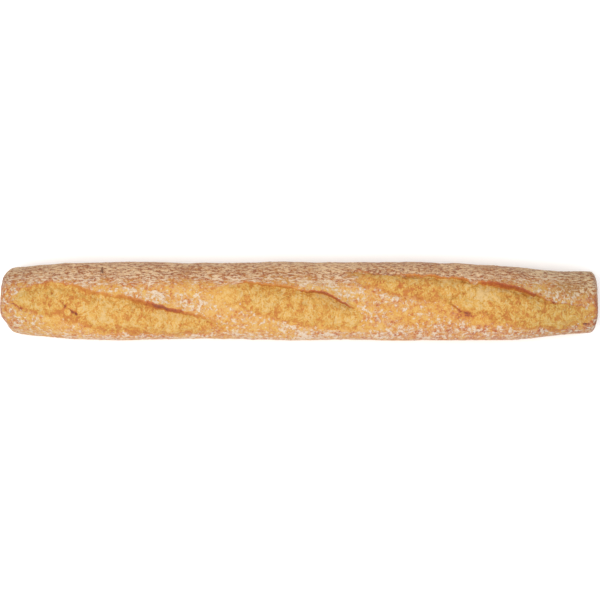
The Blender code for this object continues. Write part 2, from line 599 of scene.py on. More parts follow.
@dataclass
class Crust:
    """The whole outside of the loaf as one closed mesh, with its painted values."""

    shape: LoafShape
    slashes: tuple[Slash, ...]
    marks: tuple[Mark, ...]
    patches: tuple[FlourPatch, ...]
    finish: "CrustFinish"
    relief: Relief = Relief()
    baking: Baking = Baking()
    dusting: Dusting = Dusting()
    broad_patches: Grain = Grain(1.0, (0.030, 0.016, 0.016), 3, 11)
    fray: Grain = Grain(0.0016, (0.006, 0.004, 0.004), 3, 21)
    body_rings: int = 542
    cap_rings: int = 24
    columns: int = 164
    crowding_margin: float = 0.012
    crowding_spread: float = 0.0020
    lip_rise: float = 0.0028
    lip_root: float = 0.0075
    lip_bead: float = 0.0014
    overhang: float = 0.0004
    overhang_reach: float = 0.0045
    face: float = 0.0034
    face_drop: float = 1.3  # from the lip's edge to the crumb, in lip rises
    tuck: float = 0.0003
    tuck_reach: float = 0.006
    recess: float = 0.0024
    recess_reach: float = 0.0085
    bulge: float = 0.0018
    full_breadth: float = 0.012
    foot_bead: float = 0.0004
    foot_bead_breadth: float = 0.0018
    worn_corner: float = 0.0038
    worn_reach: float = 0.013
    lip_reach: float = 0.0120

    def build(self) -> bpy.types.Object:
        """Shape, paint and dress the crust.

        Returns:
            The crust's object, in the scene, with its place in its mesh.
        """
        self.lay_grid()
        self.mark_slashes()
        self.raise_relief()
        self.paint()
        crust = self.make_object("loaf_crust")
        crust.data.materials.append(self.finish.material())
        log.info("%s: %d faces", crust.name, len(crust.data.polygons))
        return crust

    def lay_grid(self) -> None:
        """Lay the rings and columns of the plain dough, crowded beside the lips."""
        self.ring_x, self.fullness = self.shape.rings(self.body_rings, self.cap_rings)
        edges = [slash.edges(self.ring_x) for slash in self.slashes]
        self.lips, self.feet = zip(*edges)
        self.lip_places = np.zeros((len(self.slashes), len(self.ring_x)))
        self.foot_places = np.zeros_like(self.lip_places)
        rows = [self.lay_ring(ring) for ring in range(len(self.ring_x))]
        self.base = np.array([row[0] for row in rows])
        self.place = np.array([row[1] for row in rows])
        self.x, self.y, self.z = (self.base[..., axis] for axis in range(3))
        start = self.shape.belly * 0.7
        self.upper = step(self.z, start, start + 0.003)

    def lay_ring(self, ring: int) -> tuple[Array, Array]:
        """Lay one ring.

        Args:
            ring: its number from the right pole.

        Returns:
            Its points, and how far each lies from the crown's middle over the surface, + to +Y.
        """
        x, full = self.ring_x[ring], self.fullness[ring]
        across, up = self.shape.section(x)
        gone = np.concatenate([[0], np.cumsum(np.hypot(np.diff(across), np.diff(up)))])
        place = gone[len(gone) // 2] - gone
        quarter = len(gone) // 4
        over_y, over_place = across[quarter:-quarter][::-1], place[quarter:-quarter][::-1]
        belly = self.shape.belly
        pull = 0.28 + 0.30 * step(up, 0.004, 0.016) + 0.42 * step(up, belly, belly + 0.010)
        margin, spread = self.crowding_margin, self.crowding_spread
        for number, slash in enumerate(self.slashes):
            lip = np.interp(self.lips[number][ring], over_y, over_place)
            foot = np.interp(self.feet[number][ring], over_y, over_place)
            self.lip_places[number, ring] = lip
            self.foot_places[number, ring] = foot
            near = step(x, slash.start - margin, slash.start) * step(x, slash.stop + margin, slash.stop)
            at_edges = 2.4 * bell(place - lip + 0.0012, spread) + 0.7 * bell(place - foot, spread)
            pull = pull + near * at_edges
        share = np.concatenate([[0], np.cumsum((pull[1:] + pull[:-1]) / 2 * np.diff(gone))])
        stops = np.linspace(0, share[-1], self.columns + 1)[:-1]
        y = np.interp(stops, share, across) * full + self.shape.sway(x)
        z = belly + full * (np.interp(stops, share, up) - belly)
        points = np.stack([np.full(self.columns, x), y, z], axis=1)
        return points, np.interp(stops, share, place)

    def mark_slashes(self) -> None:
        """Work out where each point lies in each slash, and how far the crust has parted there.

        The edge is 1 along the rim where the crust tears from the opening, and 0 elsewhere.
        """
        fray = self.fray.over(self.base)
        self.beside, self.breadth, self.curl, self.parting, self.open_in = [], [], [], [], []
        self.edge = np.zeros(self.place.shape)
        for number, slash in enumerate(self.slashes):
            beside = self.place - self.lip_places[number][:, None]
            breadth = np.maximum(self.lip_places[number] - self.foot_places[number], 1e-5)[:, None]
            curl = slash.curled(self.ring_x)[:, None]
            parting = slash.parted(self.ring_x)[:, None] * self.upper
            blurred = 1 - np.minimum(2 * curl, 1)
            at_lip = step(-beside + fray * blurred, 0, 0.0007 + 0.0030 * blurred)
            at_foot = step(beside + breadth + 1.8 * fray, 0, 0.0060)
            self.beside.append(beside)
            self.breadth.append(breadth * np.ones_like(beside))
            self.curl.append(curl * np.ones_like(beside))
            self.parting.append(parting)
            self.open_in.append(parting * at_lip * at_foot)
            self.edge = np.maximum(self.edge, 4 * parting * at_lip * (1 - at_lip) * at_foot)
        self.opening = 1 - np.prod(1 - np.array(self.open_in), axis=0)

    def normals(self, points: Array) -> tuple[Array, Array]:
        """Find which way the surface faces.

        Args:
            points: the grid, ring by ring.

        Returns:
            The outward normal at each point, and the direction over the surface to -Y.
        """
        down = np.gradient(points, axis=0)
        over = (np.roll(points, -1, axis=1) - np.roll(points, 1, axis=1)) / 2
        over /= np.maximum(np.linalg.norm(over, axis=2, keepdims=True), 1e-9)
        out = np.cross(down, over)
        out /= np.maximum(np.linalg.norm(out, axis=2, keepdims=True), 1e-9)
        return out, over

    def lip_shape(self, number: int) -> tuple[Array, Array]:
        """The lift and the sideways push that one slash gives every point.

        Args:
            number: which slash.

        Returns:
            The lift along the normal, and the push over the surface towards -Y.
        """
        beside, breadth = self.beside[number], self.breadth[number]
        parting = self.parting[number]
        curl = self.curl[number] * np.minimum(parting * 2, 1)
        curled = np.minimum(curl, 1)
        wide = step(breadth, 0, self.full_breadth)
        rise = self.lip_rise * curl
        deep = self.recess * (0.25 + 0.75 * curled) * wide * parting
        outer = rise * (bell(beside, self.lip_root) + 0.3 * bell(beside, self.lip_bead))
        face_breadth = self.face * self.slashes[number].torn_edge
        turn = step(-beside, 0, face_breadth)
        face = self.face_drop * rise - (deep + self.face_drop * rise) * turn
        gone = np.maximum(-beside - face_breadth, 0)
        share = np.clip(gone / np.maximum(breadth - face_breadth, 1e-4), 0, 1)
        swell = self.bulge * parting * wide * np.sin(math.pi * share**0.7)
        inner = swell - deep * bell(gone, self.recess_reach)
        tuck = -self.tuck * curled
        on_crust, in_face = beside >= 0, gone <= 0
        fade = step(beside + breadth, 0, np.maximum(0.6 * breadth, 0.001))
        lift = np.where(on_crust, outer, np.where(in_face, face, inner) * fade)
        outer_push = self.overhang * curl * bell(beside, self.overhang_reach)
        face_push = self.overhang * curl * (1 - turn) + tuck * turn
        inner_push = tuck * np.exp(-gone / self.tuck_reach)
        push = np.where(on_crust, outer_push, np.where(in_face, face_push, inner_push))
        rim = beside + breadth
        raised = self.foot_bead * bell(rim + 0.0012, self.foot_bead_breadth) * parting
        past = rim < 0
        return np.where(past, raised, lift + raised), np.where(past, 0.0, push)

    def raise_relief(self) -> None:
        """Lift, tear and blister the dough into the baked crust."""
        out, over = self.normals(self.base)
        shapes = [self.lip_shape(number) for number in range(len(self.slashes))]
        lift, push = (sum(parts) for parts in zip(*shapes))
        lift += self.relief.everywhere(self.base)
        lift += self.opening * self.relief.in_openings(self.base)
        lift += (1 - self.opening) * self.relief.on_crust(self.base)
        at_left = bell(self.x + self.shape.length / 2, self.worn_reach)
        lift -= self.worn_corner * at_left * step(-self.y, 0.012, 0.024)
        self.marked = [mark.closeness(self.x, self.y) * self.upper for mark in self.marks]
        for mark, closeness in zip(self.marks, self.marked):
            lift -= mark.sink * closeness
        grip = step(self.z, 0, 0.004)[..., None]
        self.points = self.base + (out * lift[..., None] + over * push[..., None]) * grip
        self.points[..., 2] = np.maximum(self.points[..., 2], 0.0)

    def paint(self) -> None:
        """Paint every value that the finish and the loose flour read."""
        self.far = step(self.y, 0.006, 0.024)
        near_start = 0.028 - 0.007 * step(self.x, 0.09, 0.13)
        self.near = step(-self.y, near_start, near_start + 0.005)
        self.top = step(self.z, self.shape.belly - 0.006, self.shape.belly + 0.002)
        self.broad = self.broad_patches.over(self.base)
        self.scar = sum(mark.bake * closeness for mark, closeness in zip(self.marks, self.marked))
        self.find_lips()
        self.paint_bake()
        self.paint_flour()

    def paint_bake(self) -> None:
        """Paint how far each point is baked."""
        baking, x, z, broad = self.baking, self.x, self.z, self.broad
        share = np.clip(-np.array(self.beside) / np.array(self.breadth), 0, 1)
        weight = np.array(self.open_in) ** 2 + 1e-6
        across = np.sum(share * weight, axis=0) / np.sum(weight, axis=0)
        mottle = baking.mottle.over(self.base)
        crumb = baking.crumb + baking.towards_foot * across**2
        crumb += baking.foot_line * bell(across - 0.88, 0.11)
        crumb += baking.crumb_patches * broad + baking.crumb_mottle * mottle
        crust = baking.top + baking.far_side * self.far + baking.near_side * self.near
        crust += baking.right_end * step(x, 0.225, 0.255) * (1 - self.far)
        crust += baking.left_end * step(x, -0.240, -0.260)
        crust += baking.crust_patches * broad + baking.crust_mottle * mottle
        side = baking.low_side + baking.pale_band * bell(z - 0.010, 0.007)
        side += baking.base_rim * step(z, 0.004, 0) + baking.side_patches * broad
        crust = side + (crust - side) * self.top
        bake = crust + (crumb - crust) * self.opening
        bake += baking.torn_edge * self.edge * self.top
        bake += baking.right_half * step(x, 0.03, 0.11) * (1 - self.opening)
        bake += baking.right_rim * bell(x - 0.2675, 0.0020) + baking.left_rim * bell(x + 0.2680, 0.0022)
        self.bake = np.clip(bake, 0, baking.most)

    def paint_flour(self) -> None:
        """Paint how floury each point is, and how thickly loose flour clumps on it."""
        dusting, x, y, opening = self.dusting, self.x, self.y, self.opening
        flour = dusting.top + dusting.near_side * self.near
        flour += self.far * (dusting.far_side + dusting.far_middle * bell(x, 0.08))
        golden = step(x, 0.055, 0.075) * step(x, 0.19, 0.17)
        flour += dusting.golden_middle * golden * step(y, -0.002, -0.008) * step(y, -0.027, -0.019)
        flour += dusting.left_end * step(x, -0.235, -0.255)
        flour += dusting.right_end * step(x, 0.200, 0.230) * step(y, -0.006, 0.002)
        flour += dusting.patches * self.broad
        behind = bell(self.lip * MM - 0.006, 0.0055) * np.minimum(self.lip_curl, 1)
        flour += dusting.behind_lips * behind
        flour = dusting.side + (flour - dusting.side) * self.top
        flour += dusting.near_right * self.near * step(x, 0.04, 0.10)
        flour *= 1 - dusting.blown_off * opening
        flour *= 1 - dusting.blown_off * np.max(self.marked, axis=0)
        thick = self.top * sum(
            patch.amount * bell(np.hypot(x - patch.x, y - patch.y), patch.reach) for patch in self.patches
        )
        self.flour = np.clip(flour + dusting.thick * thick * (1 - 0.5 * opening), 0, dusting.most)
        self.clump = np.clip(flour * 0.5 + thick, 0, 2) * step(self.z, 0, 0.01) * (1 - opening)

    def find_lips(self) -> None:
        """Find how far each point is from the nearest lip, in millimetres, + on its crust side."""
        gaps = [
            np.where(parting > 0.05, beside / np.where(beside < 0, slash.torn_edge, 1.0), 1.0)
            for slash, beside, parting in zip(self.slashes, self.beside, self.parting)
        ]
        nearest = np.argmin(np.abs(gaps), axis=0)[None]
        gap = np.take_along_axis(np.array(gaps), nearest, axis=0)[0]
        curl = np.take_along_axis(np.array(self.curl) * np.array(self.parting), nearest, axis=0)[0]
        self.lip = np.clip(gap, -self.lip_reach, self.lip_reach) / MM
        self.lip_curl = np.where(np.abs(gap) < self.lip_reach, curl, 0.0)

    def make_object(self, name: str) -> bpy.types.Object:
        """Make the mesh, its bake map and its painted values.

        Args:
            name: the piece's name.

        Returns:
            The new object.
        """
        inner = self.points[1:-1]
        rings, columns = inner.shape[:2]
        poles = [self.points[0].mean(axis=0), self.points[-1].mean(axis=0)]
        places = np.concatenate([inner.reshape(-1, 3), poles])
        index = np.arange(rings * columns).reshape(rings, columns)
        after = np.roll(index, -1, axis=1)
        quads = np.stack([index[:-1], index[1:], after[1:], after[:-1]], axis=-1).reshape(-1, 4)
        right_pole, left_pole = rings * columns, rings * columns + 1
        fan = [(right_pole, a, b) for a, b in zip(index[0], after[0])]
        fan += [(left_pole, b, a) for a, b in zip(index[-1], after[-1])]
        mesh = bpy.data.meshes.new(name)
        faces = quads.tolist() + [tuple(map(int, corners)) for corners in fan]
        mesh.from_pydata(places.tolist(), [], faces)
        mesh.shade_smooth()
        self.map_for_baking(mesh, rings, columns)
        values = {
            Paint.OPENING: self.opening,
            Paint.LIP: self.lip,
            Paint.CURL: self.lip_curl,
            Paint.SCAR: self.scar,
            Paint.BAKE: self.bake,
            Paint.FLOUR: self.flour,
            Paint.CLUMP: self.clump,
        }
        for paint, value in values.items():
            ends = [value[0].mean(), value[-1].mean()]
            layer = mesh.attributes.new(paint.value, "FLOAT", "POINT")
            painted = np.concatenate([value[1:-1].ravel(), ends])
            layer.data.foreach_set("value", painted.astype(np.float32))
        mesh.validate()
        crust = bpy.data.objects.new(name, mesh)
        bpy.context.scene.collection.objects.link(crust)
        return crust

    def map_for_baking(self, mesh: bpy.types.Mesh, rings: int, columns: int) -> None:
        """Lay the crust out flat as two half-length strips, one over the other.

        Args:
            mesh: the crust's mesh.
            rings: how many rings it has between its poles.
            columns: how many points each ring has.
        """
        crown = self.points[:, self.columns // 2]
        gone = np.concatenate([[0], np.cumsum(np.linalg.norm(np.diff(crown, axis=0), axis=1))])
        along = gone / gone[-1]
        around = np.arange(columns + 1) / columns
        half = np.searchsorted(along, 0.5)
        margin, band = 0.004, 0.492
        corners = np.zeros((len(mesh.loops), 2), np.float32)
        ring = np.repeat(np.arange(rings - 1), columns) + 1
        column = np.tile(np.arange(columns), rings - 1)
        lower = ring < half
        for corner, (next_ring, next_column) in enumerate(((0, 0), (1, 0), (1, 1), (0, 1))):
            u = along[ring + next_ring]
            u = np.where(lower, u / along[half], (u - along[half]) / (1 - along[half]))
            v = around[column + next_column] * band + np.where(lower, margin, 0.5 + margin)
            spot = np.arange(len(ring)) * 4 + corner
            corners[spot, 0] = margin + u * (1 - 2 * margin)
            corners[spot, 1] = v
        first = len(ring) * 4
        ends = ((0, along[half], margin), (along[half], 1 - along[half], 0.5 + margin))
        for number, (pole_ring, near_ring) in enumerate(((0, 1), (len(along) - 1, len(along) - 2))):
            for step in range(columns):
                lead = first + (number * columns + step) * 3
                sides = (step, step + 1) if number == 0 else (step + 1, step)
                u = [along[pole_ring], along[near_ring], along[near_ring]]
                v = [(step + 0.5) / columns, around[sides[0]], around[sides[1]]]
                from_start, strip, shift = ends[number]
                for corner in range(3):
                    scaled = (u[corner] - from_start) / strip
                    corners[lead + corner, 0] = margin + scaled * (1 - 2 * margin)
                    corners[lead + corner, 1] = v[corner] * band + shift
        layer = mesh.uv_layers.new(name="OFBake")
        layer.data.foreach_set("uv", corners.ravel())


class Nodes:
    """A short way to add and join the nodes of one tree."""

    def __init__(self, tree: bpy.types.NodeTree) -> None:
        """Work on the given tree."""
        self.tree = tree

    def feed(self, target: Socket, source: object) -> None:
        """Join a socket to another, or set it to a plain value."""
        if isinstance(source, bpy.types.NodeSocket):
            self.tree.links.new(source, target)
        else:
            target.default_value = source

    def node(self, kind: str, feeds: Feeds | None = None, **settings: object) -> bpy.types.Node:
        """Add a node.

        Args:
            kind: its type's name.
            feeds: what goes into its inputs, by their names or numbers.
            **settings: its properties.

        Returns:
            The new node.
        """
        made = self.tree.nodes.new(kind)
        for key, value in settings.items():
            setattr(made, key, value)
        for key, source in (feeds or {}).items():
            self.feed(made.inputs[key], source)
        return made


class Wiring(Nodes):
    """The nodes of one material, around its Principled shader."""

    def __init__(self, name: str) -> None:
        """Start a material with a bare Principled shader.

        Args:
            name: the material's name.
        """
        self.material = bpy.data.materials.new(name)
        self.material.use_nodes = True
        super().__init__(self.material.node_tree)
        self.shader = self.tree.nodes["Principled BSDF"]

    def set(self, **values: object) -> None:
        """Feed the shader's inputs, named with _ for each space."""
        for name, value in values.items():
            self.feed(self.shader.inputs[name.replace("_", " ")], value)

    def painted(self, paint: Paint) -> Socket:
        """Read one of the values painted on the mesh."""
        return self.node("ShaderNodeAttribute", attribute_name=paint.value).outputs["Fac"]

    def own_places(self) -> Socket:
        """The object's own coordinates."""
        return self.node("ShaderNodeTexCoord").outputs["Object"]

    def places(self, stretch: Sizes = (1, 1, 1), turn: float = 0.0) -> Socket:
        """The object's own coordinates, turned about Z and then divided along X, Y and Z."""
        feeds = {"Vector": self.own_places(), "Rotation": (0, 0, turn), "Scale": stretch}
        return self.node("ShaderNodeMapping", feeds, vector_type="TEXTURE").outputs["Vector"]

    def along(self, axis: str) -> Socket:
        """How far a place lies along one of the object's own axes."""
        return self.node("ShaderNodeSeparateXYZ", {0: self.own_places()}).outputs[axis]

    def noise(self, places: object, size: float, detail: float = 3.0, rough: float = 0.5) -> Socket:
        """Noise with bumps of the given size, 0 to 1."""
        feeds = {"Vector": places, "Scale": 1 / size, "Detail": detail, "Roughness": rough}
        return self.node("ShaderNodeTexNoise", feeds).outputs["Fac"]

    def cells(self, places: object, size: float, feature: str = "F1") -> Socket:
        """The distance to the nearest scattered centre, or to the nearest cell wall."""
        feeds = {"Vector": places, "Scale": 1 / size}
        return self.node("ShaderNodeTexVoronoi", feeds, feature=feature).outputs["Distance"]

    def calculate(self, operation: str, *values: object) -> Socket:
        """One step of arithmetic on one, two or three values."""
        return self.node("ShaderNodeMath", dict(enumerate(values)), operation=operation).outputs[0]

    def add(self, *terms: object) -> Socket:
        """The sum of the terms."""
        return reduce(lambda total, term: self.calculate("ADD", total, term), terms)

    def times(self, *factors: object) -> Socket:
        """The product of the factors."""
        return reduce(lambda product, factor: self.calculate("MULTIPLY", product, factor), factors)

    def less(self, first: object, second: object) -> Socket:
        """The first value less the second."""
        return self.calculate("SUBTRACT", first, second)

    def below(self, most: float, value: object) -> Socket:
        """A value that eases off under a limit."""
        return self.calculate("SMOOTH_MIN", value, most, 0.2)

    def off_centre(self, noise_value: object, amount: float) -> Socket:
        """Noise moved to go both ways from 0, by the given amount."""
        return self.times(self.less(noise_value, 0.5), amount)

    def between(self, share: object, first: object, second: object) -> Socket:
        """Mix two values."""
        feeds = {0: share, 2: first, 3: second}
        return self.node("ShaderNodeMix", feeds, data_type="FLOAT").outputs[0]

    def within(self, value: object, low: object, high: object, soft: bool = True) -> Socket:
        """How far a value has come from low to high, 0 to 1.

        Args:
            value: the value.
            low: where it starts to count, which may lie above the high one.
            high: where it counts in full.
            soft: whether it eases in and out.

        Returns:
            How far the value has come, 0 to 1.
        """
        feeds = {"Value": value, "From Min": low, "From Max": high}
        kind = "SMOOTHSTEP" if soft else "LINEAR"
        return self.node("ShaderNodeMapRange", feeds, interpolation_type=kind).outputs["Result"]

    def blend(self, share: object, first: object, second: object, kind: str = "MIX") -> Socket:
        """Mix two colours."""
        feeds = {0: share, 6: first, 7: second}
        return self.node("ShaderNodeMix", feeds, data_type="RGBA", blend_type=kind).outputs[2]

    def ramp(self, value: object, stops: tuple[tuple[float, Colour], ...]) -> Socket:
        """Colours along a value.

        Args:
            value: what picks the colour.
            stops: places along the value with their colours.

        Returns:
            The colour.
        """
        made = self.node("ShaderNodeValToRGB", {"Fac": value})
        elements = made.color_ramp.elements
        while len(elements) < len(stops):
            elements.new(0.5)
        for element, (place, colour) in zip(elements, stops):
            element.position, element.color = place, colour
        return made.outputs["Color"]

    def bump(self, height: object, distance: float, strength: float) -> None:
        """Give the shader a bump of the given height."""
        feeds = {"Strength": strength, "Distance": distance, "Height": height}
        self.set(Normal=self.node("ShaderNodeBump", feeds).outputs["Normal"])


@dataclass(frozen=True)
class CrustPatterns:
    """The places, noises and painted values that several parts of the crust's finish read."""

    here: Socket
    torn_places: Socket
    grit: Socket
    fine: Socket
    medium: Socket
    strands: Socket
    opening: Socket
    flour: Socket
    end_face: Socket


@dataclass(frozen=True)
class CrustFinish:
    """Baked crust: cream to scorched by its bake, dusted with flour, with painted shade darkening its far
    side and the top of its right end.
    """

    cream: Colour = display(244, 202, 134)
    pale_gold: Colour = display(240, 190, 99)
    gold: Colour = display(232, 170, 72)
    orange: Colour = display(218, 140, 54)
    rust: Colour = display(202, 102, 46)
    chestnut: Colour = display(166, 84, 50)
    scorched: Colour = display(120, 60, 40)
    # painted shade: a brown and a darkening tint laid on the far side and the right end's top as if they
    # were shaded
    shade_brown: Colour = display(138, 94, 64)
    shade_tint: Colour = (1.0, 0.86, 0.67, 1.0)
    end_tint: Colour = (0.85, 0.91, 0.94, 1.0)
    flour: Colour = display(255, 238, 216)
    flour_shade: Colour = display(238, 198, 154)
    specular: float = 0.35
    roughness: float = 0.56
    flour_roughness: float = 0.34
    strand_turn: float = math.radians(-11)
    bend: float = 0.008
    bend_size: float = 0.009
    grit_size: float = 0.0007
    fine_size: float = 0.0014
    medium_size: float = 0.0045
    strand_size: float = 0.0020
    patch_size: float = 0.0070
    dab_size: float = 0.0042
    web_size: float = 0.0045
    pore_size: float = 0.0030
    fleck_sizes: tuple[float, float] = (0.0030, 0.0075)
    streak_size: float = 0.0013
    streak_stretch: float = 3.6
    film_size: float = 0.0023
    crust_limit: float = 0.86
    crumb_limit: float = 0.68
    relief: float = 0.0010

    def material(self) -> bpy.types.Material:
        """Build the crust's material.

        Returns:
            The finished material.
        """
        w = Wiring("baked_crust")
        shared = self.patterns(w)
        ribbon, ribbon_bake = self.ribbon(w, shared.fine)
        bare = w.less(1.0, w.times(ribbon, 0.9))
        ribbon_baked = w.add(ribbon_bake, w.off_centre(shared.strands, 0.4))
        baked = w.between(ribbon, self.baked(w, shared), ribbon_baked)
        crust = w.ramp(w.add(baked, w.painted(Paint.SCAR)), (
            (0.05, self.cream),
            (0.26, self.pale_gold),
            (0.46, self.gold),
            (0.64, self.orange),
            (0.76, self.rust),
            (0.88, self.chestnut),
            (1.0, self.scorched),
        ))
        cover, film = self.dust(w, shared, bare)
        # painted shade: the far side and the right end's top are browned, then darkened with a tint, as
        # if shaded
        painted_shade_share = self.painted_shade(w, shared)
        shade_browned = w.blend(w.times(painted_shade_share, 0.62, bare), crust, self.shade_brown)
        hazed = w.blend(w.times(shared.flour, 0.06), shade_browned, self.flour_shade)
        filmed = w.blend(film, hazed, self.flour_shade)
        powder = w.blend(w.within(shared.grit, 0.30, 0.60), self.flour_shade, self.flour)
        dusted = w.blend(cover, filmed, powder)
        # painted shade: the darkening tint on the far side and the right end's top
        shade_darkened = w.blend(painted_shade_share, dusted, self.shade_tint, "MULTIPLY")
        right_end = w.within(w.along("X"), 0.165, 0.250)
        left_end = w.times(w.within(w.along("X"), -0.200, -0.262), 0.6)
        at_ends = w.calculate("MAXIMUM", right_end, left_end)
        rough = w.add(self.roughness, w.times(cover, self.flour_roughness), w.times(shared.medium, 0.12))
        w.set(
            Base_Color=w.blend(at_ends, shade_darkened, self.end_tint, "MULTIPLY"),
            Roughness=rough,
            Specular_IOR_Level=self.specular,
        )
        w.bump(self.height(w, shared, cover), self.relief, 1.0)
        return w.material

    def patterns(self, w: Wiring) -> CrustPatterns:
        """Make the patterns that the parts of the finish share.

        Args:
            w: the material's wiring.

        Returns:
            The patterns.
        """
        here = w.places()
        torn_places = self.torn_places(w, here)
        fine = w.noise(here, self.fine_size, 3, 0.6)
        return CrustPatterns(
            here=here,
            torn_places=torn_places,
            grit=w.noise(here, self.grit_size, 2, 0.6),
            fine=fine,
            medium=w.noise(here, self.medium_size, 3, 0.55),
            strands=w.noise(torn_places, self.strand_size, 3, 0.6),
            opening=w.within(w.add(w.painted(Paint.OPENING), w.off_centre(fine, 0.7)), 0.12, 0.88),
            flour=w.painted(Paint.FLOUR),
            end_face=w.within(w.calculate("ABSOLUTE", w.along("X")), 0.2635, 0.2680),
        )

    def torn_places(self, w: Wiring, here: Socket) -> Socket:
        """Coordinates that run along the slashes and bend, as the torn dough does.

        Args:
            w: the material's wiring.
            here: the object's own coordinates.

        Returns:
            The bent coordinates.
        """
        bend = w.node("ShaderNodeTexNoise", {"Vector": here, "Scale": 1 / self.bend_size})
        along = w.places((1, 1.5, 1.5), self.strand_turn)
        feeds = {0: bend.outputs["Color"], 1: (self.bend,) * 3, 2: along}
        return w.node("ShaderNodeVectorMath", feeds, operation="MULTIPLY_ADD").outputs["Vector"]

    def baked(self, w: Wiring, shared: CrustPatterns) -> Socket:
        """How far the crust and the torn crumb are baked, with their mottling and pores.

        Args:
            w: the material's wiring.
            shared: the finish's patterns.

        Returns:
            The bake, which picks a colour from the crust's ramp.
        """
        pores = w.within(w.cells(shared.here, self.pore_size), 0.24, 0.10)
        on_crust = w.add(
            w.off_centre(shared.medium, 0.9),
            w.off_centre(shared.fine, 0.9),
            w.off_centre(shared.grit, 0.4),
            w.times(pores, 0.08),
        )
        dabs = w.within(w.noise(shared.torn_places, self.dab_size, 3, 0.6), 0.53, 0.48)
        in_crumb = w.add(
            w.off_centre(w.noise(shared.torn_places, self.patch_size), 1.0),
            w.off_centre(shared.strands, 1.3),
            w.off_centre(dabs, 0.20),
            w.off_centre(shared.fine, 1.0),
            w.off_centre(shared.grit, 0.5),
        )
        bake = w.painted(Paint.BAKE)
        crust = w.below(self.crust_limit, w.add(bake, on_crust))
        crumb = w.below(self.crumb_limit, w.add(bake, in_crumb))
        return w.between(shared.opening, crust, crumb)

    def dust(self, w: Wiring, shared: CrustPatterns, bare: Socket) -> tuple[Socket, Socket]:
        """The flour on the crust: flecks on top, and streaks along the far side.

        Args:
            w: the material's wiring.
            shared: the finish's patterns.
            bare: where flour can lie, 0 on the lips' edges.

        Returns:
            How much the flecks and streaks cover, and how much the thin film between them does.
        """
        small, large = self.fleck_sizes
        flecks = w.between(0.25, w.noise(shared.here, small, 2, 0.6), w.noise(shared.here, large, 2))
        streaks = w.noise(w.places((self.streak_stretch, 1, 1)), self.streak_size, 3, 0.6)
        dust = w.between(w.within(w.along("Y"), 0.004, 0.016), flecks, streaks)
        low = w.less(0.64, w.times(shared.flour, 0.19))
        cover = w.within(w.between(0.12, dust, shared.grit), w.less(low, 0.03), w.add(low, 0.06))
        dusty = w.times(bare, w.within(shared.flour, 0.0, 0.2))
        by_height = w.between(w.within(w.along("Z"), 0.008, 0.031), 0.45, 0.9)
        thickness = w.times(by_height, w.between(shared.end_face, 1.0, 0.7))
        film = w.within(w.noise(shared.here, self.film_size, 3, 0.65), 0.46, 0.58)
        filmed = w.times(film, 0.66, w.within(shared.flour, 0.1, 0.8, soft=False), dusty)
        return w.times(cover, thickness, dusty), filmed

    def painted_shade(self, w: Wiring, shared: CrustPatterns) -> Socket:
        """Painted shade: how far the far side and the top of the right end are darkened and browned as if
        shaded.

        Args:
            w: the material's wiring.
            shared: the finish's patterns.

        Returns:
            How much painted shade each place gets, 0 to 1.
        """
        far_side = w.within(w.along("Y"), 0.006, 0.026)
        right_end = w.times(w.within(w.along("X"), 0.205, 0.250), w.within(w.along("Y"), -0.003, 0.009))
        return w.times(
            w.calculate("MAXIMUM", far_side, right_end),
            w.less(1.0, w.times(shared.opening, 0.8)),
            w.between(w.within(w.along("Z"), 0.006, 0.022), 0.45, 1.0),
            w.between(shared.end_face, 1.0, 0.4),
        )

    def height(self, w: Wiring, shared: CrustPatterns, cover: Socket) -> Socket:
        """The height of the fine relief: the crust's grain, the torn strands and the flour.

        Args:
            w: the material's wiring.
            shared: the finish's patterns.
            cover: how much flour covers each place.

        Returns:
            The height, for the bump.
        """
        webs = w.within(w.cells(shared.torn_places, self.web_size, "DISTANCE_TO_EDGE"), 0.22, 0.0)
        torn = w.less(w.off_centre(shared.strands, 1.5), w.times(webs, 0.08))
        return w.add(
            w.times(shared.fine, 0.5),
            w.times(shared.medium, 0.5),
            w.times(shared.opening, torn),
            w.times(cover, 0.10),
            w.times(shared.grit, cover, 0.25),
        )

    def ribbon(self, w: Wiring, fine: Socket) -> tuple[Socket, Socket]:
        """The caramelised edge along each raised lip.

        Args:
            w: the material's wiring.
            fine: noise that frays the ribbon.

        Returns:
            Where the ribbon lies, 0 to 1, and how far it is baked.
        """
        lip = w.add(w.painted(Paint.LIP), w.off_centre(fine, 2.2))
        curl = w.painted(Paint.CURL)
        depth = w.times(w.within(curl, 0.0, 1.0, soft=False), -2.6)
        inner = w.within(lip, w.add(depth, -1.2), w.add(depth, -0.4))
        outer = w.within(lip, 0.9, 0.3)
        place = w.times(inner, outer, w.within(curl, 0.10, 0.40))
        curled = w.calculate("POWER", w.calculate("MINIMUM", curl, 1.0), 2.0)
        rim = w.times(w.within(lip, -2.8, -0.8), curled)
        return place, w.add(0.58, w.times(curl, 0.10), w.times(rim, 0.11))


@dataclass(frozen=True)
class FlourFinish:
    """Loose flour, toasted a little by the oven."""

    pale: Colour = display(246, 222, 194)
    toasted: Colour = display(228, 190, 148)
    roughness: float = 0.95
    specular: float = 0.2
    tint_size: float = 0.003
    grain: float = 0.0005
    relief: float = 0.0003

    def material(self) -> bpy.types.Material:
        """Build the loose flour's material.

        Returns:
            The finished material.
        """
        w = Wiring("loose_flour")
        tint = w.noise(w.places(), self.tint_size, 3, 0.6)
        w.set(
            Base_Color=w.blend(w.within(tint, 0.35, 0.65), self.toasted, self.pale),
            Roughness=self.roughness,
            Specular_IOR_Level=self.specular,
        )
        w.bump(w.noise(w.places(), self.grain, 4, 0.7), self.relief, 0.6)
        return w.material


@dataclass(frozen=True)
class FloorFinish:
    """A plain pale surface."""

    colour: Colour = (0.93, 0.93, 0.925, 1.0)
    roughness: float = 0.9

    def material(self) -> bpy.types.Material:
        """Build the floor's material.

        Returns:
            The finished material.
        """
        w = Wiring("pale_floor")
        w.set(Base_Color=self.colour, Roughness=self.roughness)
        return w.material


